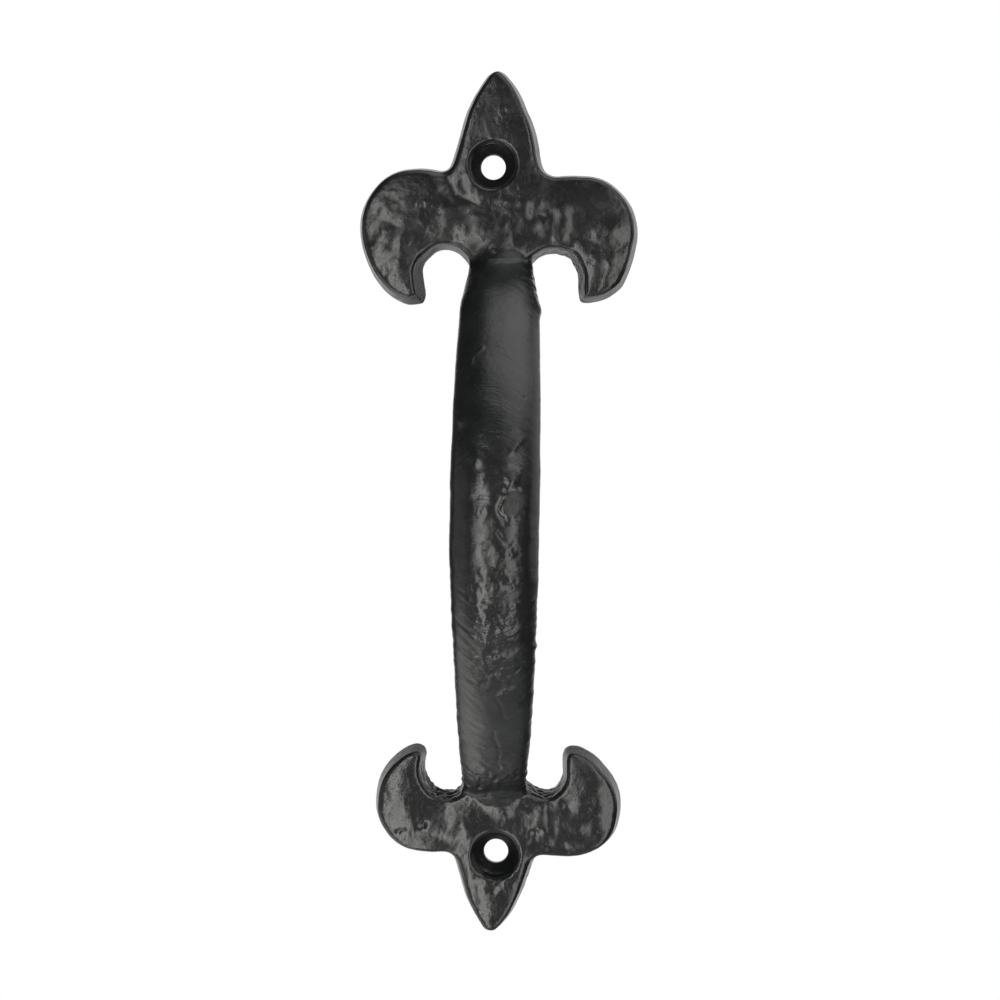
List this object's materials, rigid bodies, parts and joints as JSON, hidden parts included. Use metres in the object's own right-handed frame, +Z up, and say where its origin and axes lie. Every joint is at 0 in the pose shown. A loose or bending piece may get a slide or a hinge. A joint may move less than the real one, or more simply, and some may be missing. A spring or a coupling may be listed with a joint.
{
  "type": "pull handle",
  "caption": "Bowed cast-iron pull handle with a fleur-de-lis plate at each end, a countersunk screw hole in each plate and finger room behind the grip.",
  "frame": {"origin": "midway between the two screw holes, on the plane of the plates' backs", "axes": "+Z up along the handle towards the larger plate, +Y into the door, -Y out along the grip's projection, +X to the right as seen from the front"},
  "size_m": [0.0657, 0.042, 0.204],
  "materials": {
    "black_iron": "satin black paint over rough casting"
  },
  "bodies": {
    "root": {"upper_fleur_plate": "black_iron", "grip": "black_iron", "lower_fleur_plate": "black_iron"}
  },
  "joints": []
}
